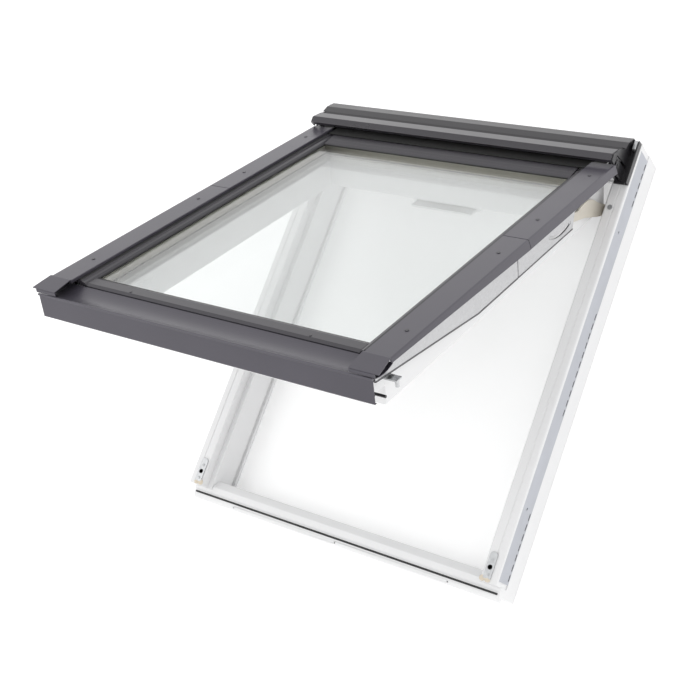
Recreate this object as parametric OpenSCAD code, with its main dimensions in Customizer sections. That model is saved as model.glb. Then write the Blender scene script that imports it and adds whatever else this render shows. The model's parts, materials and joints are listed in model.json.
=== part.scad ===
// Top-hung roof window with a centre pivot for cleaning, on its own outer frame.
//
// The frame lies on its back: X runs across the window, Y runs up the roof slope
// and Z points out of the roof. The origin is at the centre of the frame's back.
// Sash and arm parts are written in their closed place, in the same axes, and
// are then turned up about the hinge axis to the angle at which the sash rests.

/* [Overall] */
// Outer width of the frame
frame_w = 780; // [660:10:1140]
// Outer length of the frame, up the slope
frame_l = 980; // [900:10:1400]
// Depth of the side members, back to top face
frame_h = 115; // [105:1:130]
// Angle at which the sash stands open at rest
open_angle = 43; // [0:1:43]

/* [Frame] */
// Width of a side member
side_w = 47; // [44:1:60]
// Width of the bottom member
bottom_w = 51; // [46:1:70]
// Width of the top member
top_w = 50; // [46:1:55]
// Height of the bottom member, lower than the sides so that water runs off
bottom_h = 86; // [78:1:88]
// Width of the step that the arms close into
step_w = 12; // [12:1:16]
// Depth of that step below the top face
step_d = 25; // [25:1:34]
// Thickness of the steel fixing rails in the frame's sides
rail_t = 2; // [1.5:0.5:4]

/* [Hinge] */
// Distance of the hinge axis from the top end of the frame
hinge_back = 78; // [74:1:90]
// Height of the hinge axis above the side members
hinge_rise = 45; // [44:1:50]
// Diameter of the hinge pins
hinge_pin_d = 10; // [6:1:12]
// Radial running clearance of pins in their holes
pin_play = 0.05; // [0.02:0.01:0.1]
// Thickness of the arms' plates
arm_t = 3.5; // [3:0.5:4.5]
// Distance of the centre pivot from the front of the sash
pivot_s = 508; // [440:1:560]
// Mean radius of the curved pivot track
track_r = 49; // [42:1:52]

/* [Sash] */
// Gap between the sash and the side members
sash_gap = 8; // [8:0.5:10]
// Width of the sash stiles
stile_w = 52; // [46:1:64]
// Depth of the sash below its front edge level
sash_drop = 51; // [44:1:56]
// Height of the side covers above the front edge level
cover_n = 62; // [60:1:70]
// Thickness of the sheet metal covers
sheet_t = 1.5; // [1:0.1:2]

/* [Glazing] */
// Thickness of each pane
pane_t = 4; // [3:1:5]
// Width of the space between the panes
glass_space = 18; // [12:1:20]

/* [Covers] */
// Height of the bottom cover's front face
apron_h = 46; // [36:1:50]
// How far the side covers reach over the frame's side
cover_reach = 11; // [6:1:14]
// Width of the fold down the side covers' outer edge
cover_skirt = 18; // [10:1:22]
// Width of the joint between the upper and lower side covers
split_gap = 1.6; // [1.2:0.2:3]

/* [Hidden] */
$fn = 48;
eps = 0.01;

// Half sizes and inner faces of the frame
fx = frame_w / 2;
fy = frame_l / 2;
inner_x = fx - side_w;
inner_y0 = -fy + bottom_w;
inner_y1 = fy - top_w;
side_y0 = -fy + 28;             // the side members stand behind the bottom member's lip
step_x = inner_x + step_w;
step_z = frame_h - step_d;

// Hinge axis and the sash's own reference edge, which is the front bottom edge
// of the bottom cover: s is measured from it up the slope, n away from the roof
hinge_y = fy - hinge_back;
hinge_z = frame_h + hinge_rise;
front_y = -fy - 5;
base_z = frame_h - 8;
sash_l = inner_y1 - front_y - 10;
pivot_n = cover_n + 2;

// Sash widths
sash_x = inner_x - sash_gap;
stile_in = sash_x - stile_w;
body_s = 74;
lip_s = 14;
rail_in_s = 112;                // inner face of the bottom rail
top_in_s = sash_l - 110;
glass_n = 19;
glass_th = 2 * pane_t + glass_space;
glass_top_n = glass_n + glass_th;
glass_x = sash_x - 17;
glass_s0 = body_s + 3;
glass_s1 = sash_l - 80;
seat_n = glass_n - 2;           // the panes lie on a 2 mm seal

// Covers
cover_in = sash_x - 13;
cover_bend = fx - cover_reach - 5;
cover_out = fx - cover_reach;
cover_end_s = hinge_y - front_y - 14;
wall_x0 = step_x - 1 - arm_t;   // the arms' and side rails' upright plates
wall_x1 = step_x - 1;
wall_low_n = step_z + 3 - base_z;
cover_under_n = cover_n - sheet_t;
cover_fold = 6;                 // height of the covers' inner fold

// Hood
hood_lip_y = hinge_y - 5;
hood_lip_z = hinge_z + 37;

// Turns its children from the closed place to the rest place
module opened() {
    translate([0, hinge_y, hinge_z])
        rotate([-open_angle, 0, 0])
            translate([0, -hinge_y, -hinge_z])
                children();
}

// Puts a profile drawn in (s, n) on the sash, extruded across X from x0 to x1
module sash_profile(x0, x1) {
    translate([x0, front_y, base_z])
        rotate([90, 0, 90])
            linear_extrude(x1 - x0)
                children();
}

// Puts a profile drawn in (y, z) on the frame, extruded across X from x0 to x1
module frame_profile(x0, x1) {
    translate([x0, 0, 0])
        rotate([90, 0, 90])
            linear_extrude(x1 - x0)
                children();
}

// Puts a profile drawn in (x, n) along the sash from s0 to s1
module sash_run(s0, s1) {
    translate([0, front_y + s1, base_z])
        rotate([90, 0, 0])
            linear_extrude(s1 - s0)
                children();
}

// A box on the sash from (x0, s0, n0) to (x1, s1, n1)
module sash_box(x0, s0, n0, x1, s1, n1) {
    translate([x0, front_y + s0, base_z + n0])
        cube([x1 - x0, s1 - s0, n1 - n0]);
}

// A box from one corner to the other
module box(a, b) {
    translate(a)
        cube(b - a);
}

// Children, or their mirror image on the left side
module on_side(side) {
    if (side > 0)
        children();
    else
        mirror([1, 0, 0])
            children();
}

module both_sides() {
    on_side(1) children();
    on_side(-1) children();
}

// Points of an arc, for outlines
function arc(cx, cy, r, a0, a1, n = 8) =
    [for (i = [0:n]) [cx + r * cos(a0 + (a1 - a0) * i / n), cy + r * sin(a0 + (a1 - a0) * i / n)]];

// ---------------------------------------------------------------- frame

rail_z0 = step_z - 33;
rail_z1 = frame_h - 7;
rail_y0 = side_y0 + 10;
rail_y1 = fy - 14;
fix_span = frame_l - 380;       // spacing of the two fixing holes in each rail
fix_r = 3;
fix_z = (rail_z0 + rail_z1) / 2 + 4;
groove_z0 = 10;                 // groove for the room's lining boards
groove_z1 = 23;
groove_d = 6;
stay_y = hinge_y - 50;
stay_z = 52;
stay_pin_r = 4;
plate_x = step_x + 12;          // centre of the strike plates
plate_y = side_y0 + 30;
plate_len = 46;
plate_wid = 17;
plate_t = 2.5;
head_y = hinge_y - 72;          // screw in each side member's top face
head_x = step_x + 11;

module side_profile() {
    polygon([
        [inner_x, 0], [fx, 0], [fx, rail_z0], [fx - rail_t, rail_z0], [fx - rail_t, rail_z1],
        [fx, rail_z1], [fx, frame_h - 4], [fx - 1.2, frame_h - 1.2], [fx - 4, frame_h],
        [step_x + 20, frame_h], [step_x + 19, frame_h - 1.6], [step_x + 17, frame_h - 1.6],
        [step_x + 16, frame_h], [step_x + 1, frame_h], [step_x, frame_h - 1],
        [step_x, step_z], [inner_x + 1, step_z], [inner_x, step_z - 1],
        [inner_x, groove_z1], [inner_x + groove_d, groove_z1], [inner_x + groove_d, groove_z0],
        [inner_x, groove_z0]
    ]);
}

module frame_side(side) {
    color("white")
        on_side(side)
            difference() {
                translate([0, fy, 0])
                    rotate([90, 0, 0])
                        linear_extrude(fy - side_y0)
                            side_profile();
                for (y = slot_ys)
                    rail_slot(y, rail_t + pocket_d);
                for (sy = [-1, 1])
                    translate([fx - rail_t - 26, sy * fix_span / 2, fix_z])
                        rotate([0, 90, 0])
                            cylinder(r = fix_r, h = 30);
                translate([inner_x - 1, stay_y, stay_z])
                    rotate([0, 90, 0])
                        cylinder(r = stay_pin_r, h = 15);
                for (dy = [-15, 15])
                    translate([plate_x, plate_y + dy, frame_h - 12])
                        cylinder(r = 1.8, h = 13);
                translate([plate_x, plate_y, frame_h - 14])
                    cylinder(r = 5, h = 15);
                translate([head_x, head_y, frame_h - 16])
                    cylinder(r = 2.2, h = 17);
            }
}

gasket_y = -fy + 14.5;
gasket_w = 4;
drain_r = 2;
lip_d = 9;                      // how far the bottom member's lip stands proud of the face below it
lip_low = bottom_h - 18;

module frame_bottom() {
    lip_z = bottom_h - 3;
    color("white")
        difference() {
            union() {
                frame_profile(-inner_x, inner_x)
                    polygon(concat(
                        [[-fy, lip_low], [-fy + 1.5, lip_low - 1.5], [-fy + lip_d, lip_low - 1.5],
                         [-fy + lip_d, 0], [inner_y0, 0], [inner_y0, groove_z0], [inner_y0 - groove_d, groove_z0],
                         [inner_y0 - groove_d, groove_z1], [inner_y0, groove_z1],
                         [inner_y0, bottom_h - 14], [inner_y0 - 4, bottom_h - 9], [inner_y0 - 16, bottom_h]],
                        [[gasket_y + 8, bottom_h], [gasket_y + 4, lip_z]],
                        arc(-fy + 14, lip_z - 14, 14, 90, 180, 7)
                    ));
                both_sides()
                    frame_profile(inner_x, fx)
                        polygon(concat(
                            [[-fy, lip_low], [-fy + 1.5, lip_low - 1.5], [-fy + lip_d, lip_low - 1.5],
                             [-fy + lip_d, 0], [side_y0, 0], [side_y0, bottom_h], [gasket_y + 8, bottom_h],
                             [gasket_y + 4, lip_z]],
                            arc(-fy + 14, lip_z - 14, 14, 90, 180, 7)
                        ));
            }
            // groove that holds the gasket
            box([-fx + 5, gasket_y - gasket_w / 2, lip_z - 4], [fx - 5, gasket_y + gasket_w / 2, lip_z + 1]);
            // drain holes along the lip
            for (x = [-0.8, 0, 0.8] * inner_x)
                translate([x, -fy + 6, lip_z - 22])
                    cylinder(r = drain_r, h = 30);
        }
}

module bottom_gasket() {
    lip_z = bottom_h - 3;
    color([0.05, 0.05, 0.05])
        frame_profile(-fx + 5, fx - 5)
            polygon([
                [gasket_y - gasket_w / 2, lip_z - 4], [gasket_y + gasket_w / 2, lip_z - 4],
                [gasket_y + gasket_w / 2, lip_z + 1], [gasket_y + 0.8, lip_z + 2.6],
                [gasket_y - 0.8, lip_z + 2.6], [gasket_y - gasket_w / 2, lip_z + 1]
            ]);
}

module frame_top() {
    color("white")
        frame_profile(-inner_x, inner_x)
            polygon([
                [inner_y1, 0], [fy, 0], [fy, frame_h - 3], [fy - 3, frame_h], [inner_y1 + 2, frame_h],
                [inner_y1, frame_h - 2], [inner_y1, groove_z1], [inner_y1 + groove_d, groove_z1],
                [inner_y1 + groove_d, groove_z0], [inner_y1, groove_z0]
            ]);
}

// Slots run in groups along the fixing rails
slot_len = 15;
slot_wid = 4.5;
slot_z = rail_z0 + 5;
slot_pitch = 21;
pocket_d = 7;                   // depth of the pockets behind the slots
low_slots = 7;
mid_slots = 11;
top_slots = 5;
slot_ys = concat(
    [for (i = [0:low_slots - 1]) rail_y0 + 14 + i * slot_pitch],
    [for (i = [0:mid_slots - 1]) 15 + (i - (mid_slots - 1) / 2) * slot_pitch],
    [for (i = [0:top_slots - 1]) rail_y1 - 16 - i * slot_pitch]
);

module rail_slot(y, depth) {
    translate([fx - depth, y, slot_z])
        rotate([0, 90, 0])
            linear_extrude(depth + 1)
                union() {
                    square([slot_wid, slot_len - slot_wid], center = true);
                    for (e = [-1, 1])
                        translate([0, e * (slot_len - slot_wid) / 2])
                            circle(d = slot_wid, $fn = 24);
                }
}

module fixing_rail(side) {
    color([0.72, 0.74, 0.79])
        on_side(side)
            difference() {
                box([fx - rail_t, rail_y0, rail_z0], [fx, rail_y1, rail_z1]);
                for (y = slot_ys)
                    rail_slot(y, rail_t + 1);
                for (sy = [-1, 1])
                    translate([fx - rail_t - 1, sy * fix_span / 2, fix_z])
                        rotate([0, 90, 0])
                            cylinder(r = fix_r, h = rail_t + 2);
            }
}

module strike_plates() {
    color([0.6, 0.61, 0.63])
        both_sides()
            difference() {
                union() {
                    box([plate_x - plate_wid / 2, plate_y - plate_len / 2, frame_h],
                        [plate_x + plate_wid / 2, plate_y + plate_len / 2, frame_h + plate_t]);
                    translate([plate_x, plate_y + plate_len / 2, frame_h])
                        cylinder(d = plate_wid, h = plate_t);
                }
                translate([plate_x, plate_y, frame_h - 1])
                    cylinder(r = 5, h = plate_t + 2);
                for (dy = [-15, 15])
                    translate([plate_x, plate_y + dy, frame_h - 1])
                        cylinder(r = 1.8, h = plate_t + 2);
            }
}

// A countersunk screw standing at the origin, head up, shank down
module screw(head_r, head_h, shank_r, shank_len) {
    difference() {
        union() {
            cylinder(r = head_r, h = head_h);
            translate([0, 0, -shank_len])
                cylinder(r = shank_r, h = shank_len + eps);
        }
        for (a = [0, 90])
            rotate([0, 0, a])
                translate([-head_r * 0.55, -0.5, head_h - 0.9])
                    cube([head_r * 1.1, 1, 1]);
    }
}

module frame_screws() {
    color([0.66, 0.67, 0.68])
        both_sides() {
            translate([head_x, head_y, frame_h])
                screw(5.5, 1.8, 2.2, 15);
            for (dy = [-15, 15])
                translate([plate_x, plate_y + dy, frame_h + plate_t])
                    screw(3.2, 1.4, 1.8, 13);
        }
}

// ---------------------------------------------------------------- hood

hood_x = inner_x + 34;
front_x = hood_x - 7;
// Back plate, crease and front edge of the rear sheet, as (y, z)
back_pts = [[fy - 0.5, frame_h], [fy - 0.5, frame_h + 19], [fy - 19.5, frame_h + 38], [fy - 36.5, frame_h + 46]];
valley_pts = [[fy - 35.5, frame_h + 45.5], [fy - 60, frame_h + 53]];
// Rear edge, crease and lip of the front sheet
front_pts = [
    [hood_lip_y + 34.5, hood_lip_z - 19.5], [hood_lip_y + 14, hood_lip_z + 1.5],
    [hood_lip_y, hood_lip_z], [hood_lip_y - 1.5, hood_lip_z - 9]
];

// Outline of a sheet that follows the points of a path, with thickness t below it
function lowered(pts, t) =
    [for (i = [len(pts) - 1:-1:0])
        let (
            a = pts[max(i - 1, 0)],
            b = pts[min(i + 1, len(pts) - 1)],
            d = (b - a) / norm(b - a)
        )
        pts[i] + t * [-d[1], d[0]]];

module sheet(pts, t) {
    polygon(concat(pts, lowered(pts, t)));
}

module hood_back() {
    color([0.33, 0.32, 0.34])
        union() {
            frame_profile(-hood_x, hood_x)
                sheet(back_pts, sheet_t);
            // strip that runs on under the front sheet, between the end plates
            frame_profile(-front_x + 0.5, front_x - 0.5)
                sheet(valley_pts, sheet_t);
        }
}

module hood_front() {
    color([0.41, 0.4, 0.43])
        frame_profile(-front_x, front_x)
            sheet(front_pts, sheet_t);
}

// Plates that close the two hood sheets at their ends and carry them
module hood_ends() {
    color([0.36, 0.35, 0.37])
        both_sides()
            difference() {
                frame_profile(front_x, front_x + 3)
                    polygon([
                        [fy - 3, bracket_z1], [fy - 3, frame_h + 17], [fy - 19.5, frame_h + 35.5],
                        [fy - 36.5, frame_h + 43.5], front_pts[0] + [0, -2.5], front_pts[1] + [0, -2.5],
                        front_pts[2] + [0, -2], [hood_lip_y - 1, hood_lip_z - 17],
                        [hinge_y + 16, hinge_z + 19], [hinge_y + 20, bracket_z1]
                    ]);
            }
}

bracket_x0 = step_x + 2;
bracket_x1 = fx - 1;
bracket_y0 = hinge_y - 19;
bracket_z1 = frame_h + 3;
ear_t = 5;
ear_r = hinge_pin_d / 2 + 7;
ear_gap = 6;                    // room between a bracket's two ears
ear_x0 = step_x + 2;
ear_x1 = ear_x0 + 2 * ear_t + ear_gap;

module ear(x0) {
    translate([x0, 0, 0])
        difference() {
            union() {
                translate([0, hinge_y, hinge_z])
                    rotate([0, 90, 0])
                        cylinder(r = ear_r, h = ear_t);
                box([0, hinge_y - ear_r, frame_h + 2], [ear_t, hinge_y + ear_r, hinge_z]);
            }
            translate([-1, hinge_y, hinge_z])
                rotate([0, 90, 0])
                    cylinder(r = hinge_pin_d / 2 + pin_play, h = ear_t + 2);
        }
}

module hood_bracket(side) {
    color([0.09, 0.09, 0.1])
        on_side(side)
            union() {
                box([bracket_x0, bracket_y0, frame_h], [bracket_x1, fy - 3, bracket_z1]);
                box([bracket_x1 - 2.5, bracket_y0, frame_h], [bracket_x1, fy - 3, frame_h + 15]);
                box([bracket_x1 - 8, bracket_y0, frame_h], [bracket_x1 - 6, fy - 3, frame_h + 9]);
                ear(ear_x0);
                ear(ear_x0 + ear_t + ear_gap);
            }
}

module hinge_pins() {
    color([0.7, 0.71, 0.73])
        both_sides()
            translate([ear_x0 - 1, hinge_y, hinge_z])
                rotate([0, 90, 0])
                    union() {
                        cylinder(d = hinge_pin_d, h = ear_x1 - ear_x0 + 2);
                        translate([0, 0, -1.5])
                            cylinder(d = hinge_pin_d + 5, h = 2);
                    }
}

// Filter strip that fills the air slot behind the hood's lip
module vent_filter() {
    color([0.04, 0.04, 0.04])
        frame_profile(-inner_x + 12, inner_x - 12)
            polygon([
                [hinge_y + 30, frame_h], [hinge_y + 60, frame_h], [hinge_y + 42, frame_h + 40],
                [hinge_y + 28, frame_h + 45]
            ]);
}

// ---------------------------------------------------------------- arms

arm_s0 = pivot_s - 5;
neck_s1 = hinge_y - front_y;
neck_n = hinge_z - base_z;
slide_r = 3;
slide_play = 0.3;
arm_low_n = 24;                 // lower edge of the arm's slim upper end
neck_x0 = ear_x0 + ear_t + 0.3;
neck_x1 = neck_x0 + ear_gap - 0.6;

// The stay turns by the same angle as the arm, so its pin runs along an arc of
// the arm, whose radius is the distance between the stay's axis and the hinge axis
slot_end_s = pivot_s + 213;     // pin's place along the arm when the sash stands open
slot_end_n = wall_low_n + 17;
plate_end_s = slot_end_s + 12;
stay_off = [stay_y - hinge_y, stay_z - hinge_z];
slot_r = norm(stay_off);
slot_a0 = atan2(stay_off[1], stay_off[0]);
slot_c = [slot_end_s, slot_end_n] - slot_r * [cos(slot_a0 + open_angle), sin(slot_a0 + open_angle)];
slot_a1 = slot_a0 + max(open_angle, 43);

// Outline in (s, n) of the arm's slot, with w to each side of the pin's arc
module slot_outline(w) {
    over = 1.5;
    polygon(concat(
        arc(slot_c[0], slot_c[1], slot_r - w, slot_a0 - over - 1, slot_a1 + over, 24),
        arc(slot_c[0], slot_c[1], slot_r + w, slot_a1 + over, slot_a0 - over - 1, 24)
    ));
}

module arm(side) {
    color([0.83, 0.83, 0.84])
        opened()
            on_side(side)
                difference() {
                    union() {
                        sash_profile(wall_x0, wall_x1)
                            polygon([
                                [arm_s0, wall_low_n], [plate_end_s, wall_low_n], [plate_end_s + 14, arm_low_n],
                                [cover_end_s - 8, arm_low_n + 8], [cover_end_s - 8, cover_under_n],
                                [arm_s0, cover_under_n]
                            ]);
                        sash_box(wall_x0 - 5, arm_s0, cover_under_n - 3, wall_x0 + eps, cover_end_s - 8,
                                 cover_under_n);
                        // block and eye that join the upright plate to the hinge pin
                        sash_box(wall_x1 - eps, neck_s1 - 78, neck_n - 11, neck_x1, neck_s1 - ear_r - 12,
                                 cover_under_n - 1.5);
                        sash_box(neck_x0, neck_s1 - ear_r - 14, neck_n - 9, neck_x1, neck_s1, neck_n + 6);
                        translate([neck_x0, hinge_y, hinge_z])
                            rotate([0, 90, 0])
                                cylinder(r = ear_r - 1, h = neck_x1 - neck_x0);
                    }
                    translate([neck_x0 - 1, hinge_y, hinge_z])
                        rotate([0, 90, 0])
                            cylinder(r = hinge_pin_d / 2 + pin_play, h = neck_x1 - neck_x0 + 2);
                    sash_profile(wall_x0 - 1, wall_x1 + 1)
                        slot_outline(slide_r + slide_play);
                }
}

// Rubber hem along the lower edge of an upright plate, as an (x, n) outline
module hem(x0, x1, n) {
    polygon([[x0 - 1.5, n], [x0 - 1.5, n - 1.6], [x1 - 1, n - 2.6], [x1 + 0.7, n - 2], [x1 + 0.7, n], [x1, n], [x0, n]]);
}

module arm_gaskets() {
    color([0.42, 0.42, 0.44])
        opened()
            both_sides()
                sash_run(arm_s0, plate_end_s)
                    hem(wall_x0, wall_x1, wall_low_n);
}

// Outline in (s, n) of a ring sector about the centre pivot, hanging below it
module sector(r0, r1, half) {
    polygon(concat(
        arc(pivot_s, pivot_n, r0, -90 - half, -90 + half, 16),
        arc(pivot_s, pivot_n, r1, -90 + half, -90 - half, 16)
    ));
}

track_half = 30;
rib_w = 5;
rib_play = 0.3;
track_x0 = sash_x + 4;
track_depth = 4;

module pivot_tracks() {
    color([0.62, 0.63, 0.65])
        opened()
            both_sides()
                difference() {
                    sash_profile(track_x0, wall_x0)
                        sector(track_r - 9, track_r + 9, track_half);
                    sash_profile(track_x0 - 1, track_x0 + track_depth)
                        sector(track_r - rib_w / 2 - rib_play, track_r + rib_w / 2 + rib_play, track_half + 5);
                }
}

module pivot_shoes() {
    color([0.55, 0.56, 0.58])
        opened()
            both_sides()
                union() {
                    sash_profile(sash_x, sash_x + 3)
                        sector(track_r - 8, track_r + 8, track_half - 6);
                    sash_profile(sash_x + 2, track_x0 + track_depth - rib_play)
                        sector(track_r - rib_w / 2, track_r + rib_w / 2, track_half - 8);
                }
}

// Folded side cover as an (x, n) outline; drop is the height of its outer fold
module cover_outline(drop) {
    n1 = cover_n;
    t = sheet_t;
    low = n1 - drop;
    polygon([
        [cover_in, n1 - cover_fold], [cover_in, n1 - 1], [cover_in + 1, n1], [cover_bend - 3, n1], [cover_bend, n1 - 1],
        [cover_out, low], [cover_out - t, low], [cover_bend - 1 - t * 0.6, n1 - 1 - t],
        [cover_bend - 3.5, n1 - t], [cover_in + t, n1 - t],
        [cover_in + t, n1 - cover_fold]
    ]);
}

module upper_cover(side) {
    color([0.42, 0.41, 0.44])
        opened()
            on_side(side)
                sash_run(pivot_s + split_gap / 2, cover_end_s)
                    cover_outline(cover_skirt);
}

screw_x = cover_in + 27;
screw_off_up = 86;
screw_off_low = 68;

module upper_cover_screws() {
    color([0.36, 0.35, 0.37])
        opened()
            both_sides()
                for (s = [pivot_s + screw_off_up, cover_end_s - 70])
                    translate([screw_x, front_y + s, base_z + cover_n])
                        cylinder(r = 3.6, h = 1);
}

// ---------------------------------------------------------------- stays

stay_x0 = sash_x + 2.5;
stay_x1 = inner_x - 1.5;
// The slide pin's place at rest, and the length and angle of the stay there
pin_rel = [front_y + slot_end_s - hinge_y, base_z + slot_end_n - hinge_z];
pin_y = hinge_y + pin_rel[0] * cos(open_angle) + pin_rel[1] * sin(open_angle);
pin_z = hinge_z - pin_rel[0] * sin(open_angle) + pin_rel[1] * cos(open_angle);
stay_len = norm([pin_y - stay_y, pin_z - stay_z]);
stay_ang = atan2(pin_z - stay_z, pin_y - stay_y);

// Goose-neck plate drawn along +X from its frame pivot to the slide pin
module stay_plate() {
    bulge = 30;
    knee = stay_len * 0.56;
    polygon(concat(
        arc(0, 0, 11, 150, 270, 8),
        [[knee * 0.55, -9], [knee, -4]],
        arc(stay_len, 0, 8, -90, 90, 8),
        [[stay_len - 20, 9]],
        [for (t = [0:0.1:1]) let (u = 1 - t)
            u * u * [knee + 36, 14] + 2 * u * t * [knee - 6, bulge + 14] + t * t * [knee - 56, bulge - 8]],
        [[26, 12]]
    ));
}

module stay(side) {
    color([0.82, 0.8, 0.74])
        on_side(side)
            difference() {
                translate([stay_x0, stay_y, stay_z])
                    rotate([90, 0, 90])
                        linear_extrude(stay_x1 - stay_x0)
                            rotate(stay_ang)
                                mirror([0, 1, 0])
                                    stay_plate();
                translate([stay_x0 - 1, stay_y, stay_z])
                    rotate([0, 90, 0])
                        cylinder(r = stay_pin_r + pin_play, h = 12);
            }
}

module stay_pins() {
    color([0.7, 0.71, 0.73])
        both_sides()
            translate([0, stay_y, stay_z])
                rotate([0, 90, 0])
                    union() {
                        translate([0, 0, stay_x0 - 1])
                            cylinder(r = stay_pin_r, h = inner_x + 12 - stay_x0);
                        translate([0, 0, stay_x0 - 1.6])
                            cylinder(r = stay_pin_r + 2.5, h = 1.3);
                    }
}

module slide_pins() {
    color([0.7, 0.71, 0.73])
        both_sides()
            translate([stay_x1, pin_y, pin_z])
                rotate([0, 90, 0])
                    cylinder(r = slide_r, h = wall_x1 - stay_x1 - 0.5);
}

// ---------------------------------------------------------------- sash

wall_top_n = glass_top_n + 5;     // top of the sash's rim around the glass

module stile(side) {
    color("white")
        opened()
            on_side(side)
                sash_run(body_s, sash_l)
                    polygon([
                        [stile_in + 3, -sash_drop], [sash_x - 3, -sash_drop], [sash_x, -sash_drop + 3],
                        [sash_x, wall_top_n], [glass_x + 3, wall_top_n], [glass_x + 3, seat_n],
                        [stile_in + 6, seat_n], [stile_in, seat_n - 8], [stile_in, -sash_drop + 3]
                    ]);
}

module sash_rail_bottom() {
    color("white")
        opened()
            union() {
                sash_profile(-stile_in, stile_in)
                    polygon([
                        [body_s + 4, -sash_drop], [rail_in_s - 3, -sash_drop], [rail_in_s, -sash_drop + 3],
                        [rail_in_s, seat_n - 8], [rail_in_s - 6, seat_n], [glass_s0 - 3, seat_n],
                        [glass_s0 - 3, -sash_drop + 4]
                    ]);
                sash_profile(-sash_x, sash_x)
                    polygon([
                        [lip_s + 3, -14], [body_s, -14], [body_s, wall_top_n - 9],
                        [strip_s0 + 2, wall_top_n - 9], [strip_s0 - 10, apron_h - 8.5], [lip_s, apron_h - 8.5],
                        [lip_s, -11]
                    ]);
            }
}

module sash_rail_top() {
    color("white")
        opened()
            sash_profile(-stile_in, stile_in)
                polygon([
                    [top_in_s + 3, -sash_drop], [sash_l - 3, -sash_drop], [sash_l, -sash_drop + 3],
                    [sash_l, wall_top_n], [glass_s1 + 3, wall_top_n], [glass_s1 + 3, seat_n],
                    [top_in_s + 6, seat_n], [top_in_s, seat_n - 8], [top_in_s, -sash_drop + 3]
                ]);
}

module pane(n0) {
    color([0.78, 0.84, 0.83, 0.4])
        opened()
            sash_box(-glass_x, glass_s0, n0, glass_x, glass_s1, n0 + pane_t);
}

// A closed band that follows the glass edge, w wide, set in from the edge by inset
module glass_band(inset, w, n0, n1) {
    x1 = glass_x - inset;
    s0 = glass_s0 + inset;
    s1 = glass_s1 - inset;
    difference() {
        sash_box(-x1, s0, n0, x1, s1, n1);
        sash_box(-x1 + w, s0 + w, n0 - 1, x1 - w, s1 - w, n1 + 1);
    }
}

module spacer_bar() {
    color([0.72, 0.71, 0.66])
        opened()
            glass_band(4, 9, glass_n + pane_t, glass_n + pane_t + glass_space);
}

module pane_seal() {
    color([0.08, 0.08, 0.08])
        opened()
            glass_band(0, 13, seat_n, glass_n);
}

bead_w = 32;
bead_in = sash_x - bead_w;
bead_top_n = cover_n - cover_fold - 1.7;

// Glazing bead in (distance from the sash's outer face, n); it stands on the pane
module bead_outline(w) {
    polygon([
        [0, wall_top_n], [14, wall_top_n], [14, glass_top_n], [w, glass_top_n], [w, glass_top_n + 3],
        [w - 3, glass_top_n + 7], [w - 9, glass_top_n + 8.5], [w - 10, glass_top_n + 11],
        [14, bead_top_n], [0, bead_top_n]
    ]);
}

module bead_side(side) {
    color([0.36, 0.35, 0.37])
        opened()
            on_side(side)
                sash_run(strip_s0, sash_l)
                    translate([sash_x, 0])
                        mirror([1, 0])
                            bead_outline(bead_w);
}

module bead_top() {
    color([0.34, 0.33, 0.36])
        opened()
            sash_profile(-bead_in, bead_in)
                translate([sash_l, 0])
                    mirror([1, 0])
                        polygon([
                            [0, wall_top_n], [glass_band_top - 3, wall_top_n], [glass_band_top - 3, glass_top_n],
                            [glass_band_top + 15, glass_top_n], [glass_band_top + 15, glass_top_n + 3],
                            [glass_band_top + 8, glass_top_n + 6], [glass_band_top + 7, glass_top_n + 4.5],
                            [glass_band_top - 2, glass_top_n + 8], [glass_band_top - 3, glass_top_n + 6.5],
                            [glass_band_top - 20, glass_top_n + 10], [0, glass_top_n + 10]
                        ]);
}

glass_band_top = sash_l - glass_s1;
strip_s0 = 60;
strip_s1 = glass_s0 + 14;

module bead_bottom() {
    color([0.4, 0.39, 0.41])
        opened()
            sash_profile(-bead_in, bead_in)
                polygon([
                    [strip_s0, wall_top_n - 7.5], [body_s, wall_top_n - 6], [body_s, wall_top_n - 4],
                    [glass_s0 - 1, glass_top_n], [strip_s1, glass_top_n], [strip_s1, glass_top_n + 3],
                    [strip_s1 - 5, glass_top_n + 5], [strip_s0 + 6, glass_top_n + 5],
                    [strip_s0, wall_top_n - 3]
                ]);
}

// ---------------------------------------------------------------- lower covers

taper_s = pivot_s - split_gap / 2;

// The outer fold starts as nothing at the front corner and grows to full height
module lower_cover(side) {
    front_drop = 6;
    nose_s = 42;
    color([0.42, 0.41, 0.44])
        opened()
            on_side(side)
                difference() {
                    union() {
                        sash_run(nose_s, taper_s)
                            cover_outline(cover_skirt);
                        intersection() {
                            sash_profile(cover_in, cover_out + 1)
                                sheet([[0, cover_n - front_drop], [nose_s, cover_n], [nose_s + 2, cover_n]], sheet_t);
                            translate([0, front_y, base_z])
                                linear_extrude(cover_n + 5)
                                    polygon([
                                        [cover_in, 0], [cover_out, 0], [cover_bend, nose_s],
                                        [cover_bend - 3, nose_s + 2], [cover_in, nose_s + 2]
                                    ]);
                        }
                        sash_box(cover_in, 0, apron_h + 3, cover_bend - 2, sheet_t, cover_n - front_drop - 0.5);
                    }
                    // slanting cut along the lower edge of the outer fold
                    translate([cover_bend - 3.2, 0, 0])
                        sash_profile(0, cover_out - cover_bend + 5)
                            polygon([
                                [-2, cover_n - cover_skirt - 2], [taper_s, cover_n - cover_skirt - 2],
                                [taper_s - 4, cover_n - cover_skirt], [-2, cover_n - front_drop]
                            ]);
                }
}

module lower_cover_screws() {
    color([0.36, 0.35, 0.37])
        opened()
            both_sides() {
                for (s = [pivot_s - screw_off_low, 130])
                    translate([screw_x, front_y + s, base_z + cover_n])
                        cylinder(r = 3.6, h = 1);
                translate([bead_in * 0.66, front_y + (strip_s0 + body_s) / 2 + 3, base_z + glass_top_n + 5])
                    cylinder(r = 2.6, h = 0.8);
            }
}

apron_x = fx - 24;

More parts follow.
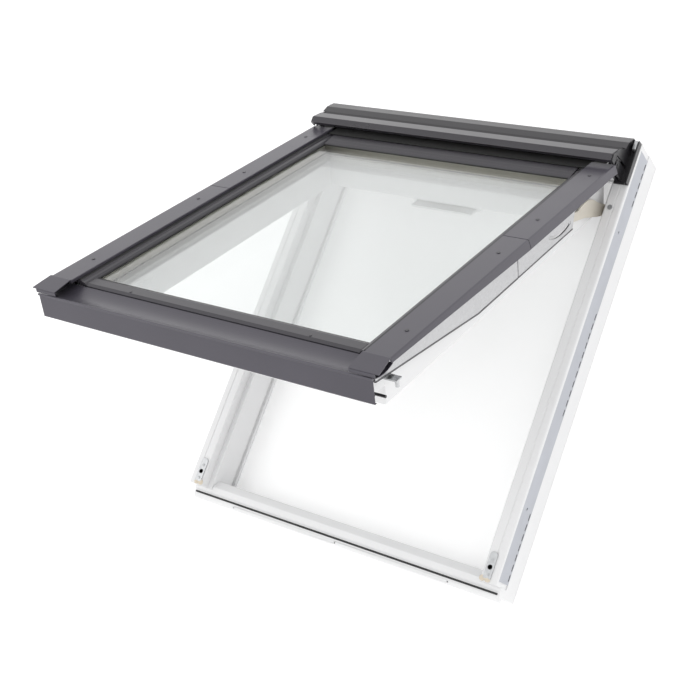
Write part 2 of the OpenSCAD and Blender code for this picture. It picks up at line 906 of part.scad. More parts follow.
// Bottom cover: upright front face, rolled nose and a hollow top that runs up to the glass
module bottom_cover() {
    t = sheet_t;
    dip_r = 76.6;
    dip = arc(31.5, apron_h - 6 + dip_r, dip_r, -111.8, -69, 12);
    path = concat(
        [[0, 0], [0, apron_h - 3]],
        arc(-0.2, apron_h - 0.5, 2.6, 200, 20, 8),
        dip
    );
    color([0.4, 0.39, 0.41])
        opened()
            sash_profile(-apron_x, apron_x)
                polygon(concat(
                    path,
                    [for (i = [len(dip) - 1:-1:0]) dip[i] - [0, t]],
                    [[3.4, apron_h - 4.5], [t, apron_h - 6], [t, 1], [5, 0.8], [5, 0]]
                ));
}

rail_s1 = pivot_s - 8;
rail_taper_s = 350;
rail_front_n = 26;

// Upright plate beside each lower half of the sash, with the flange that joins it
module side_rail(side) {
    color([0.85, 0.85, 0.86])
        opened()
            on_side(side)
                union() {
                    sash_profile(wall_x0, wall_x1)
                        polygon([
                            [24, rail_front_n], [rail_taper_s, wall_low_n], [rail_s1, wall_low_n],
                            [rail_s1, cover_under_n], [strip_s0 + 2, cover_under_n], [strip_s0 + 2, apron_h - 8.5],
                            [24, apron_h - 8.5]
                        ]);
                    sash_box(sash_x, body_s, 30, wall_x0 + eps, rail_s1, 33);
                }
}

module rail_gaskets() {
    slope = atan2(wall_low_n - rail_front_n, rail_taper_s - 24);
    color([0.42, 0.42, 0.44])
        opened()
            both_sides()
                sash_profile(wall_x0 - 1.5, wall_x1 + 0.7)
                    polygon([
                        [24, rail_front_n], [rail_taper_s, wall_low_n], [rail_s1, wall_low_n],
                        [rail_s1, wall_low_n - 2.4], [rail_taper_s, wall_low_n - 2.4], [24, rail_front_n - 2.4]
                    ]);
}

module sash_seal() {
    color([0.05, 0.05, 0.05])
        opened()
            sash_profile(-sash_x, sash_x)
                polygon([[36, -14], [46, -14], [45, -17], [41, -19], [37, -17]]);
}

module lock_pins() {
    pin_s = plate_y - front_y;
    lock_n = frame_h + plate_t + 1 - base_z;
    color([0.7, 0.71, 0.73])
        opened()
            both_sides()
                union() {
                    sash_box(sash_x, pin_s - 8, lock_n, plate_x + 5, pin_s + 8, lock_n + 3);
                    translate([plate_x, plate_y, base_z - 1])
                        cylinder(r = 3.6, h = lock_n + 2);
                }
}

// ---------------------------------------------------------------- handles

handle_s = 93;
handle_t = 5;                   // base plate
lever_t = 6;
lever_len = 118;

module handle_base() {
    color([0.75, 0.75, 0.76])
        opened()
            translate([0, front_y + handle_s, base_z - sash_drop - handle_t])
                difference() {
                    linear_extrude(handle_t)
                        union() {
                            square([64, 24], center = true);
                            for (e = [-32, 32])
                                translate([e, 0])
                                    circle(r = 12);
                        }
                    translate([0, 0, -1])
                        cylinder(r = 8 + pin_play, h = handle_t);
                }
}

// The lever lies along the rail when locked and turns a quarter to open
module handle_lever() {
    color([0.8, 0.8, 0.81])
        opened()
            translate([0, front_y + handle_s, base_z - sash_drop - handle_t - 1])
                union() {
                    translate([0, 0, -1])
                        cylinder(r = 8, h = handle_t);
                    translate([0, 0, -lever_t])
                        linear_extrude(lever_t)
                            union() {
                                circle(r = 11);
                                translate([0, -8])
                                    square([lever_len - 8, 16]);
                                translate([lever_len - 8, 0])
                                    circle(r = 8);
                            }
                }
}

latch_s = sash_l - 72;
latch_n = -sash_drop - 16;
latch_w = 150;

module vent_latch_base() {
    color([0.86, 0.86, 0.86])
        opened()
            both_sides()
                difference() {
                    sash_box(latch_w / 2 + 0.5, latch_s - 9, latch_n - 5, latch_w / 2 + 7.5, latch_s + 9,
                             -sash_drop);
                    translate([latch_w / 2 - 1, front_y + latch_s, base_z + latch_n])
                        rotate([0, 90, 0])
                            cylinder(r = 3 + pin_play, h = 7);
                }
}

// Bar handle that opens the air slot; it swings about pins at its two ends
module vent_latch() {
    color([0.9, 0.9, 0.9])
        opened()
            union() {
                sash_box(-latch_w / 2, latch_s - 5, latch_n - 5, latch_w / 2, latch_s + 5, latch_n + 5);
                sash_box(-latch_w / 2, latch_s - 34, latch_n - 5, latch_w / 2, latch_s - 4, latch_n - 1);
                translate([-latch_w / 2 - 5, front_y + latch_s, base_z + latch_n])
                    rotate([0, 90, 0])
                        cylinder(r = 3, h = latch_w + 10);
            }
}

// ---------------------------------------------------------------- nodes

frame_side(-1);  // frame_left
frame_side(1);  // frame_right
frame_bottom();
frame_top();
fixing_rail(-1);  // fixing_rail_left
fixing_rail(1);  // fixing_rail_right
bottom_gasket();
strike_plates();
frame_screws();
hood_back();
hood_front();
hood_ends();
hood_bracket(-1);  // hood_bracket_left
hood_bracket(1);  // hood_bracket_right
vent_filter();
hinge_pins();
stay_pins();
arm(-1);  // arm_left
arm(1);  // arm_right
arm_gaskets();
pivot_tracks();
upper_cover(-1);  // upper_cover_left
upper_cover(1);  // upper_cover_right
upper_cover_screws();
stay(-1);  // stay_left
stay(1);  // stay_right
slide_pins();
stile(-1);  // stile_left
stile(1);  // stile_right
sash_rail_bottom();
sash_rail_top();
pane(glass_n + pane_t + glass_space);  // outer_pane
pane(glass_n);  // inner_pane
spacer_bar();
pane_seal();
bead_side(-1);  // bead_left
bead_side(1);  // bead_right
bead_top();
bead_bottom();
lower_cover(-1);  // lower_cover_left
lower_cover(1);  // lower_cover_right
lower_cover_screws();
bottom_cover();
side_rail(-1);  // side_rail_left
side_rail(1);  // side_rail_right
rail_gaskets();
sash_seal();
pivot_shoes();
lock_pins();
handle_base();
handle_lever();
vent_latch_base();
vent_latch();
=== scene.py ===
"""A top-hung roof window with its outer frame, dressed for a studio picture."""

import json
import logging
import math
from collections.abc import Callable, Sequence
from dataclasses import dataclass, field
from enum import Enum

import bmesh
import bpy
from mathutils import Matrix, Vector

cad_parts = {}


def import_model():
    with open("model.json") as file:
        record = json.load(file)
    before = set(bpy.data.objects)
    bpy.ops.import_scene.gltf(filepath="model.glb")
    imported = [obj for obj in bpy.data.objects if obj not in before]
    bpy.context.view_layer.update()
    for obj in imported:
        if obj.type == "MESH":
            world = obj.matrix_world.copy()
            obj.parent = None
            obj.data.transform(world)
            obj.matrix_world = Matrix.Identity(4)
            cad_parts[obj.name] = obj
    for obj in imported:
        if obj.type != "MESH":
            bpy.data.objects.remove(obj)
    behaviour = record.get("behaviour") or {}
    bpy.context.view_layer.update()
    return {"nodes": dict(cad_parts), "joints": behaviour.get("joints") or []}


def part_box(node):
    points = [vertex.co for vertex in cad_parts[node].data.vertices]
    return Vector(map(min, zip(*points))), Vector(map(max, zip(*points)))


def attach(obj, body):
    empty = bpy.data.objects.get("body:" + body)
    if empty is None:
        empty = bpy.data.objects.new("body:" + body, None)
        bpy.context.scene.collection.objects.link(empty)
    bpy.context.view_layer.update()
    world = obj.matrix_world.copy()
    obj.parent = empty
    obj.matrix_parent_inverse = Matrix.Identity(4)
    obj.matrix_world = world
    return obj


LOG = logging.getLogger("roof_window")
MM = 0.001
NOISE_LOW, NOISE_HIGH = 0.3, 0.7  # where most of a noise texture's values lie
WELD_REACH = 0.00001
SHARP_ANGLE = 35.0

Colour = tuple[float, float, float]
Point = tuple[float, float, float]
Placer = Callable[[float, float, float], Point]
Spot = tuple[float, float]  # a place in an outline
Span = tuple[float, float]  # a low and a high value
Outline = Sequence[Spot]
Layer = tuple[Outline, float, float]


class Grain(Enum):
    """The direction in which a finish is stretched along its piece."""

    NONE = "none"
    ACROSS = "across"
    UP_SLOPE = "up_slope"


class NodeBench:
    """A material's node tree, with short calls for the nodes that the finishes share."""

    def __init__(self, name: str) -> None:
        """Starts an empty node tree.

        Args:
            name: the material's name.
        """
        self.material = bpy.data.materials.new(name)
        self.material.use_nodes = True
        self.tree = self.material.node_tree
        self.tree.nodes.clear()
        self.output = self.tree.nodes.new("ShaderNodeOutputMaterial")

    def node(self, kind: str, **values: object) -> bpy.types.Node:
        """Adds a node and sets its sockets or its own settings.

        Args:
            kind: the node's Blender type name.
            values: socket names with spaces as underscores, or the node's own settings.

        Returns:
            The new node.
        """
        made = self.tree.nodes.new(kind)
        for key, value in values.items():
            socket = key.replace("_", " ")
            if socket in made.inputs:
                made.inputs[socket].default_value = value
            else:
                setattr(made, key, value)
        return made

    def link(self, start: bpy.types.NodeSocket, end: bpy.types.NodeSocket) -> None:
        """Joins two sockets."""
        self.tree.links.new(start, end)

    def place(self, grain: Grain = Grain.NONE, stretch: float = 1.0) -> bpy.types.NodeSocket:
        """Gives the piece's own coordinates, stretched along its grain.

        Args:
            grain: the direction of the stretch.
            stretch: how many times longer a mark is along the grain.

        Returns:
            The vector socket.
        """
        coords = self.node("ShaderNodeTexCoord")
        factor = 1.0 / stretch
        scale = {
            Grain.NONE: (1.0, 1.0, 1.0),
            Grain.ACROSS: (factor, 1.0, 1.0),
            Grain.UP_SLOPE: (1.0, factor, 1.0),
        }[grain]
        mapping = self.node("ShaderNodeMapping", Scale=scale)
        self.link(coords.outputs["Object"], mapping.inputs["Vector"])
        return mapping.outputs["Vector"]

    def noise(self, place: bpy.types.NodeSocket, scale: float, detail: float = 3.0) -> bpy.types.NodeSocket:
        """Adds soft random marks.

        Args:
            place: the coordinates.
            scale: marks to the metre.
            detail: how many finer layers are added.

        Returns:
            The factor socket.
        """
        made = self.node("ShaderNodeTexNoise", Scale=scale, Detail=detail, Roughness=0.55)
        self.link(place, made.inputs["Vector"])
        return made.outputs["Fac"]

    def spread(self, value: bpy.types.NodeSocket, low: float, high: float) -> bpy.types.NodeSocket:
        """Maps a middling random value to a range.

        Args:
            value: a factor that mostly lies between NOISE_LOW and NOISE_HIGH.
            low: the result at NOISE_LOW.
            high: the result at NOISE_HIGH.

        Returns:
            The result socket.
        """
        made = self.node("ShaderNodeMapRange")
        made.inputs["From Min"].default_value = NOISE_LOW
        made.inputs["From Max"].default_value = NOISE_HIGH
        made.inputs["To Min"].default_value = low
        made.inputs["To Max"].default_value = high
        self.link(value, made.inputs["Value"])
        return made.outputs["Result"]

    def tint(self, value: bpy.types.NodeSocket, first: Colour, second: Colour) -> bpy.types.NodeSocket:
        """Blends two colours by a random value.

        Args:
            value: a factor that mostly lies between NOISE_LOW and NOISE_HIGH.
            first: the colour at the low end.
            second: the colour at the high end.

        Returns:
            The colour socket.
        """
        ramp = self.node("ShaderNodeValToRGB")
        ramp.color_ramp.elements[0].position = NOISE_LOW
        ramp.color_ramp.elements[0].color = (*first, 1.0)
        ramp.color_ramp.elements[1].position = NOISE_HIGH
        ramp.color_ramp.elements[1].color = (*second, 1.0)
        self.link(value, ramp.inputs["Fac"])
        return ramp.outputs["Color"]

    def vary(self, shader: bpy.types.Node, value: bpy.types.NodeSocket, low: float, high: float) -> None:
        """Makes a shader's roughness vary between two values.

        Args:
            shader: the shader node.
            value: the random value that drives it.
            low: the smoothest.
            high: the dullest.
        """
        self.link(self.spread(value, low, high), shader.inputs["Roughness"])

    def bump(self, height: bpy.types.NodeSocket, depth: float, strength: float = 1.0) -> bpy.types.NodeSocket:
        """Turns a height into a bumped normal.

        Args:
            height: the height socket.
            depth: the height of a full mark, in metres.
            strength: how much of it shows.

        Returns:
            The normal socket.
        """
        made = self.node("ShaderNodeBump", Distance=depth, Strength=strength)
        self.link(height, made.inputs["Height"])
        return made.outputs["Normal"]

    def principled(self, **values: object) -> bpy.types.Node:
        """Adds the main shader and joins it to the output.

        Args:
            values: socket names with spaces as underscores.

        Returns:
            The shader node.
        """
        shader = self.node("ShaderNodeBsdfPrincipled", **values)
        self.link(shader.outputs["BSDF"], self.output.inputs["Surface"])
        return shader


def shade(colour: Colour, factor: float) -> Colour:
    """Makes a colour lighter or darker.

    Args:
        colour: the colour.
        factor: what each channel is multiplied by.

    Returns:
        The new colour, no channel above 1.
    """
    return tuple(min(1.0, channel * factor) for channel in colour)


@dataclass(frozen=True)
class Finish:
    """What every finish has.

    Attributes:
        name: the material's name.
        colour: its main colour.
        roughness: how dull it is, from 0 to 1.
    """

    name: str
    colour: Colour
    roughness: float

    def make(self) -> bpy.types.Material:
        """Builds the material."""
        raise NotImplementedError


@dataclass(frozen=True)
class LacqueredSheet(Finish):
    """Folded aluminium sheet with a satin stove lacquer.

    Attributes:
        peel: depth of the lacquer's orange peel, in metres.
        sheen: how strongly the clear top layer reflects.
    """

    peel: float = 0.00004
    sheen: float = 0.25

    def make(self) -> bpy.types.Material:
        """Builds the material."""
        bench = NodeBench(self.name)
        place = bench.place()
        cloud = bench.noise(place, 9.0, 4.0)
        fleck = bench.noise(place, 1900.0, 2.0)
        peel = bench.noise(place, 620.0, 2.0)
        shader = bench.principled(Metallic=0.15, Coat_Weight=self.sheen, Coat_Roughness=0.18)
        colour = bench.tint(cloud, shade(self.colour, 0.94), shade(self.colour, 1.06))
        mix = bench.node("ShaderNodeMix", data_type="RGBA", blend_type="OVERLAY")
        mix.inputs["Factor"].default_value = 0.12
        bench.link(colour, mix.inputs["A"])
        bench.link(fleck, mix.inputs["B"])
        bench.link(mix.outputs["Result"], shader.inputs["Base Color"])
        bench.vary(shader, cloud, self.roughness - 0.03, self.roughness + 0.04)
        bench.link(bench.bump(peel, self.peel, 0.5), shader.inputs["Normal"])
        return bench.material


@dataclass(frozen=True)
class LacqueredTimber(Finish):
    """Pine under white lacquer, whose grain still shows faintly in the surface.

    Attributes:
        grain: the direction in which the timber runs.
    """

    grain: Grain = Grain.UP_SLOPE

    def make(self) -> bpy.types.Material:
        """Builds the material."""
        bench = NodeBench(self.name)
        along = bench.place(self.grain, 22.0)
        plain = bench.place()
        fibre = bench.noise(along, 420.0, 4.0)
        cloud = bench.noise(plain, 5.0, 3.0)
        shader = bench.principled(Coat_Weight=0.15, Coat_Roughness=0.25)
        colour = bench.tint(cloud, shade(self.colour, 0.985), shade(self.colour, 1.015))
        bench.link(colour, shader.inputs["Base Color"])
        bench.vary(shader, fibre, self.roughness - 0.04, self.roughness + 0.05)
        bench.link(bench.bump(fibre, 0.00005, 0.5), shader.inputs["Normal"])
        return bench.material


@dataclass(frozen=True)
class PlatedMetal(Finish):
    """Bare, plated or anodised metal.

    Attributes:
        grain: the direction of its drawing marks.
        mottle: how much darker its blotches are.
    """

    grain: Grain = Grain.NONE
    mottle: float = 0.12

    def make(self) -> bpy.types.Material:
        """Builds the material."""
        bench = NodeBench(self.name)
        along = bench.place(self.grain, 30.0 if self.grain is not Grain.NONE else 1.0)
        plain = bench.place()
        marks = bench.noise(along, 900.0, 4.0)
        blotch = bench.noise(plain, 160.0, 5.0)
        shader = bench.principled(Metallic=0.9)
        dark, light = 1.0 - self.mottle, 1.0 + self.mottle / 2
        colour = bench.tint(blotch, shade(self.colour, dark), shade(self.colour, light))
        bench.link(colour, shader.inputs["Base Color"])
        bench.vary(shader, marks, self.roughness - 0.06, self.roughness + 0.08)
        bench.link(bench.bump(marks, 0.00002, 0.4), shader.inputs["Normal"])
        return bench.material


@dataclass(frozen=True)
class CoatedSteel(Finish):
    """Steel with a thin pale coat that hides the metal."""

    metal: float = 0.25

    def make(self) -> bpy.types.Material:
        """Builds the material."""
        bench = NodeBench(self.name)
        place = bench.place()
        cloud = bench.noise(place, 26.0, 5.0)
        grit = bench.noise(place, 1300.0, 2.0)
        shader = bench.principled(Metallic=self.metal)
        colour = bench.tint(cloud, shade(self.colour, 0.95), shade(self.colour, 1.04))
        bench.link(colour, shader.inputs["Base Color"])
        bench.vary(shader, cloud, self.roughness - 0.05, self.roughness + 0.06)
        bench.link(bench.bump(grit, 0.00003, 0.4), shader.inputs["Normal"])
        return bench.material


@dataclass(frozen=True)
class Elastomer(Finish):
    """Extruded rubber with a dusty bloom."""

    grain: Grain = Grain.ACROSS

    def make(self) -> bpy.types.Material:
        """Builds the material."""
        bench = NodeBench(self.name)
        along = bench.place(self.grain, 40.0)
        plain = bench.place()
        lines = bench.noise(along, 1500.0, 3.0)
        bloom = bench.noise(plain, 30.0, 5.0)
        shader = bench.principled(Sheen_Weight=0.1, Sheen_Roughness=0.4)
        bench.link(bench.tint(bloom, self.colour, shade(self.colour, 1.5)), shader.inputs["Base Color"])
        bench.vary(shader, bloom, self.roughness - 0.08, self.roughness + 0.08)
        bench.link(bench.bump(lines, 0.00005, 0.5), shader.inputs["Normal"])
        return bench.material


@dataclass(frozen=True)
class OpenFoam(Finish):
    """Coarse open foam of the air filter, with painted shade in its pits."""

    def make(self) -> bpy.types.Material:
        """Builds the material."""
        bench = NodeBench(self.name)
        place = bench.place()
        cells = bench.node("ShaderNodeTexVoronoi", Scale=480.0)
        bench.link(place, cells.inputs["Vector"])
        shader = bench.principled(Roughness=self.roughness)
        # Painted shade: the colour is darkest at the cells' centres, where the bump below sinks the pits.
        ramp = bench.tint(cells.outputs["Distance"], shade(self.colour, 0.3), shade(self.colour, 1.8))
        bench.link(ramp, shader.inputs["Base Color"])
        bench.link(bench.bump(cells.outputs["Distance"], 0.001, 1.0), shader.inputs["Normal"])
        return bench.material


@dataclass(frozen=True)
class MouldedPlastic(Finish):
    """Injection moulded plastic with a fine spark-eroded texture."""

    texture: float = 0.00003

    def make(self) -> bpy.types.Material:
        """Builds the material."""
        bench = NodeBench(self.name)
        place = bench.place()
        cloud = bench.noise(place, 14.0, 3.0)
        spark = bench.noise(place, 2400.0, 2.0)
        shader = bench.principled(Coat_Weight=0.1, Coat_Roughness=0.3)
        colour = bench.tint(cloud, shade(self.colour, 0.95), shade(self.colour, 1.07))
        bench.link(colour, shader.inputs["Base Color"])
        bench.vary(shader, spark, self.roughness - 0.04, self.roughness + 0.05)
        bench.link(bench.bump(spark, self.texture, 0.6), shader.inputs["Normal"])
        return bench.material


@dataclass(frozen=True)
class SpacerBar(Finish):
    """The spacer's rolled metal with its rows of breather holes."""

    def make(self) -> bpy.types.Material:
        """Builds the material."""
        bench = NodeBench(self.name)
        place = bench.place()
        dots = bench.node("ShaderNodeTexVoronoi", Scale=260.0, Randomness=0.0)
        bench.link(place, dots.inputs["Vector"])
        ramp = bench.node("ShaderNodeValToRGB")
        ramp.color_ramp.elements[0].position = 0.12
        ramp.color_ramp.elements[0].color = (*shade(self.colour, 0.45), 1.0)
        ramp.color_ramp.elements[1].position = 0.2
        ramp.color_ramp.elements[1].color = (*self.colour, 1.0)
        bench.link(dots.outputs["Distance"], ramp.inputs["Fac"])
        shader = bench.principled(Metallic=0.3, Roughness=self.roughness)
        bench.link(ramp.outputs["Color"], shader.inputs["Base Color"])
        return bench.material


@dataclass(frozen=True)
class PaneGlass(Finish):
    """Float glass: clear through its faces, green into its edges."""

    def make(self) -> bpy.types.Material:
        """Builds the material."""
        bench = NodeBench(self.name)
        place = bench.place()
        haze = bench.noise(place, 3.0, 2.0)
        shader = bench.node(
            "ShaderNodeBsdfPrincipled", Transmission_Weight=1.0, IOR=1.5, Roughness=0.0
        )
        bench.link(bench.tint(haze, shade(self.colour, 0.995), self.colour), shader.inputs["Base Color"])
        clear = bench.node("ShaderNodeBsdfTransparent", Color=(*shade(self.colour, 0.95), 1.0))
        path = bench.node("ShaderNodeLightPath")
        mix = bench.node("ShaderNodeMixShader")
        bench.link(path.outputs["Is Shadow Ray"], mix.inputs["Fac"])
        bench.link(shader.outputs["BSDF"], mix.inputs[1])
        bench.link(clear.outputs["BSDF"], mix.inputs[2])
        bench.link(mix.outputs["Shader"], bench.output.inputs["Surface"])
        return bench.material


COVER_GREY = LacqueredSheet("cover_lacquer", (0.066, 0.061, 0.078), 0.34)
HOOD_GREY = LacqueredSheet("hood_lacquer", (0.036, 0.034, 0.038), 0.34)
HOOD_FRONT_GREY = LacqueredSheet("hood_front_lacquer", (0.047, 0.044, 0.051), 0.3)
END_DARK = LacqueredSheet("end_lacquer", (0.018, 0.017, 0.020), 0.4)
BEAD_GREY = LacqueredSheet("bead_lacquer", (0.042, 0.039, 0.047), 0.34)
BOTTOM_WHITE = LacqueredTimber("white_across", (0.83, 0.83, 0.835), 0.36, Grain.ACROSS)
SIDE_WHITE = LacqueredTimber("white_up_slope", (0.83, 0.83, 0.835), 0.36, Grain.UP_SLOPE)
RAIL_BLUE = CoatedSteel("rail_coat", (0.50, 0.515, 0.56), 0.42)
# Black moulding of the hood brackets and buffers; the same black also paints shade under the side covers'
# noses.
BRACKET_AND_SHADE_BLACK = MouldedPlastic("bracket_moulding_and_shade", (0.022, 0.021, 0.024), 0.3)
# Black rubber of the gaskets and seals; the same black also paints shade lines along the side covers' inner
# edges and under their split.
SEAL_AND_SHADE_BLACK = Elastomer("seal_rubber_and_shade", (0.012, 0.012, 0.012), 0.55)
HEM_GREY = Elastomer("hem_rubber", (0.085, 0.084, 0.088), 0.5, Grain.NONE)
FILTER_BLACK = OpenFoam("filter_foam", (0.02, 0.02, 0.02), 0.9)
ZINC = PlatedMetal("zinc_plate", (0.56, 0.57, 0.58), 0.34)
PIN_DARK = PlatedMetal("dark_pin_steel", (0.10, 0.10, 0.105), 0.3)
STEEL = PlatedMetal("turned_steel", (0.60, 0.61, 0.62), 0.22, Grain.ACROSS, 0.06)
ARM_SILVER = PlatedMetal("drawn_aluminium", (0.56, 0.56, 0.57), 0.27, Grain.NONE, 0.05)
STAY_CREAM = CoatedSteel("stay_coat", (0.70, 0.655, 0.57), 0.36, 0.3)
HANDLE_GREY = CoatedSteel("handle_coat", (0.62, 0.62, 0.63), 0.3, 0.3)
LATCH_WHITE = CoatedSteel("latch_coat", (0.82, 0.82, 0.82), 0.3, 0.0)
GLASS = PaneGlass("float_glass", (0.905, 0.918, 0.914), 0.0)
PAD_CREAM = MouldedPlastic("pad_moulding", (0.70, 0.62, 0.50), 0.4)
# Painted shade for the slots in the fixing rails and the pin holes of the strike plates.
HOLE_SHADE_BLACK = MouldedPlastic("slot_shadow", (0.012, 0.012, 0.013), 0.7)
# Black of the brush strip, which also paints the shade gap under the hood's lip.
BRUSH_AND_SHADE_BLACK = MouldedPlastic("brush_strip_and_shade", (0.004, 0.004, 0.004), 0.85)
SPACER = SpacerBar("spacer_metal", (0.50, 0.48, 0.41), 0.4)


def stadium(middle: Spot, length: float, width: float, steps: int = 8) -> list[Spot]:
    """Draws a slot outline that is long in its first direction.

    Args:
        middle: its centre.
        length: its whole length.
        width: its width.
        steps: how many edges each round end has.

    Returns:
        The outline's points, anticlockwise.
    """
    half = (length - width) / 2.0
    points = []
    for end, start in ((1.0, -90.0), (-1.0, 90.0)):
        for step in range(steps + 1):
            angle = math.radians(start + 180.0 * step / steps)
            across = middle[0] + end * half + width / 2.0 * math.cos(angle)
            points.append((across, middle[1] + width / 2.0 * math.sin(angle)))
    return points


def disc(middle: Spot, radius: float, steps: int = 32) -> list[Spot]:
    """Draws a circle.

    Args:
        middle: its centre.
        radius: its radius.
        steps: how many edges it has.

    Returns:
        The outline's points, anticlockwise.
    """
    turns = [2.0 * math.pi * step / steps for step in range(steps)]
    return [(middle[0] + radius * math.cos(turn), middle[1] + radius * math.sin(turn)) for turn in turns]


def wedges(middle: Spot, inner: float, outer: float, steps: int = 24) -> list[list[Spot]]:
    """Draws a ring as a row of small wedges.

    Args:
        middle: its centre.
        inner: its inner radius.
        outer: its outer radius.
        steps: how many wedges it has.

    Returns:
        One outline for each wedge.
    """
    inside, outside = disc(middle, inner, steps), disc(middle, outer, steps)
    row = []
    for step in range(steps):
        follow = (step + 1) % steps
        row.append([inside[step], outside[step], outside[follow], inside[follow]])
    return row


def oblong(low: Spot, high: Spot) -> list[Spot]:
    """Draws a rectangle.

    Args:
        low: its corner with the lowest values.
        high: the opposite corner.

    Returns:
        The outline's points, anticlockwise.
    """
    return [low, (high[0], low[1]), high, (low[0], high[1])]


def plates(name: str, layers: Sequence[Layer], placer: Placer) -> bpy.types.Object:
    """Builds flat plates, each an outline drawn in two directions and thick in the third.

    Args:
        name: the piece's name.
        layers: outline, low face and high face of each plate, in millimetres.
        placer: turns the two drawn values and the height, in millimetres, into a place in metres.

    Returns:
        The new object.
    """
    build = bmesh.new()
    for outline, low, high in layers:
        floor = [build.verts.new(placer(u, v, low)) for u, v in outline]
        roof = [build.verts.new(placer(u, v, high)) for u, v in outline]
        build.faces.new(list(reversed(floor)))
        build.faces.new(roof)
        for step in range(len(outline)):
            follow = (step + 1) % len(outline)
            build.faces.new((floor[step], floor[follow], roof[follow], roof[step]))
    bmesh.ops.recalc_face_normals(build, faces=build.faces[:])
    mesh = bpy.data.meshes.new(name)
    build.to_mesh(mesh)
    build.free()
    piece = bpy.data.objects.new(name, mesh)
    bpy.context.scene.collection.objects.link(piece)
    return piece


def mirrored(across: Span, run: Span, height: Span) -> list[Layer]:
    """Gives an oblong plate and its mirror image on the window's other side.

    Args:
        across: the plate's near and far edge across, from the middle.
        run: its low and high end along the window.
        height: its underside and top.

    Returns:
        The two layers, the left one first.
    """
    layers = []
    for side in (-1.0, 1.0):
        near, far = sorted((side * across[0], side * across[1]))
        layers.append((oblong((near, run[0]), (far, run[1])), *height))
    return layers


def on_frame(across: float, along: float, height: float) -> Point:
    """Gives a place on the frame.

    Args:
        across: sideways from the middle, in millimetres.
        along: towards the hinges from the middle, in millimetres.
        height: over the frame's underside, in millimetres.

    Returns:
        The place in metres.
    """
    return (across * MM, along * MM, height * MM)


@dataclass(frozen=True)
class SashPlace:
    """Where the open sash stands: a point's place from its run up the slope and its height.

    Attributes:
        hinge: the hinge axis, in metres.
        angle: how far the sash stands open, in degrees.
        run: the hinge's run from the sash's front edge, in millimetres.
        height: the hinge's height over the sash's base, in millimetres.
    """

    hinge: Point
    angle: float
    run: float = 907.0
    height: float = 53.0

    def at(self, across: float, run: float, height: float) -> Point:
        """Gives a point's place.

        Args:
            across: sideways from the middle, in millimetres.
            run: up the slope from the front edge, in millimetres.
            height: outward from the sash's base, in millimetres.

        Returns:
            The place in metres.
        """
        turn = math.radians(self.angle)
        along, out = (run - self.run) * MM, (height - self.height) * MM
        return (
            across * MM,
            self.hinge[1] + math.cos(turn) * along + math.sin(turn) * out,
            self.hinge[2] - math.sin(turn) * along + math.cos(turn) * out,
        )


@dataclass
class Dresser:
    """Gives CAD nodes their materials and softens their edges.

    Attributes:
        nodes: the CAD objects by name.
        made: the materials already built, by name.
    """

    nodes: dict[str, bpy.types.Object]
    made: dict[str, bpy.types.Material] = field(default_factory=dict)

    def material(self, finish: Finish) -> bpy.types.Material:
        """Gives a finish's material, built once.

        Args:
            finish: the finish.

        Returns:
            The material.
        """
        if finish.name not in self.made:
            self.made[finish.name] = finish.make()
        return self.made[finish.name]

    def dress(self, finish: Finish, *names: str, edge: float = 0.5) -> None:
        """Puts a finish on CAD nodes and rounds their sharp edges a little.

        Args:
            finish: the finish.
            names: the nodes.
            edge: width of the rounding in millimetres, or 0 for none.
        """
        for name in names:
            piece = self.nodes[name]
            piece.data.materials.clear()
            piece.data.materials.append(self.material(finish))
            if edge > 0:
                self.soften(piece, edge * MM)
            LOG.info("dressed %s in %s", name, finish.name)

    def fit(self, piece: bpy.types.Object, finish: Finish, body: str, slot: str, edge: float = 0.0) -> None:
        """Puts a finish on an added piece and makes it move with its body.

        Args:
            piece: the added piece.
            finish: its finish.
            body: the body that carries it.
            slot: the record's material slot that it shares; not used.
            edge: width of the rounding in millimetres, or 0 for none.
        """
        piece.data.materials.append(self.material(finish))
        if edge > 0:
            self.soften(piece, edge * MM)
        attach(piece, body)
        LOG.info("added %s to %s", piece.name, body)

    @staticmethod
    def soften(piece: bpy.types.Object, width: float) -> None:
        """Adds the modifiers that round a piece's sharp edges.

        Args:
            piece: the object.
            width: width of the rounding in metres.
        """
        weld = piece.modifiers.new("weld", "WELD")
        weld.merge_threshold = WELD_REACH
        bevel = piece.modifiers.new("edge", "BEVEL")
        bevel.width = width
        bevel.segments = 2
        bevel.limit_method = "ANGLE"
        bevel.angle_limit = math.radians(SHARP_ANGLE)
        bevel.use_clamp_overlap = True
        bevel.harden_normals = False
        smooth = piece.modifiers.new("normals", "WEIGHTED_NORMAL")
        smooth.keep_sharp = True


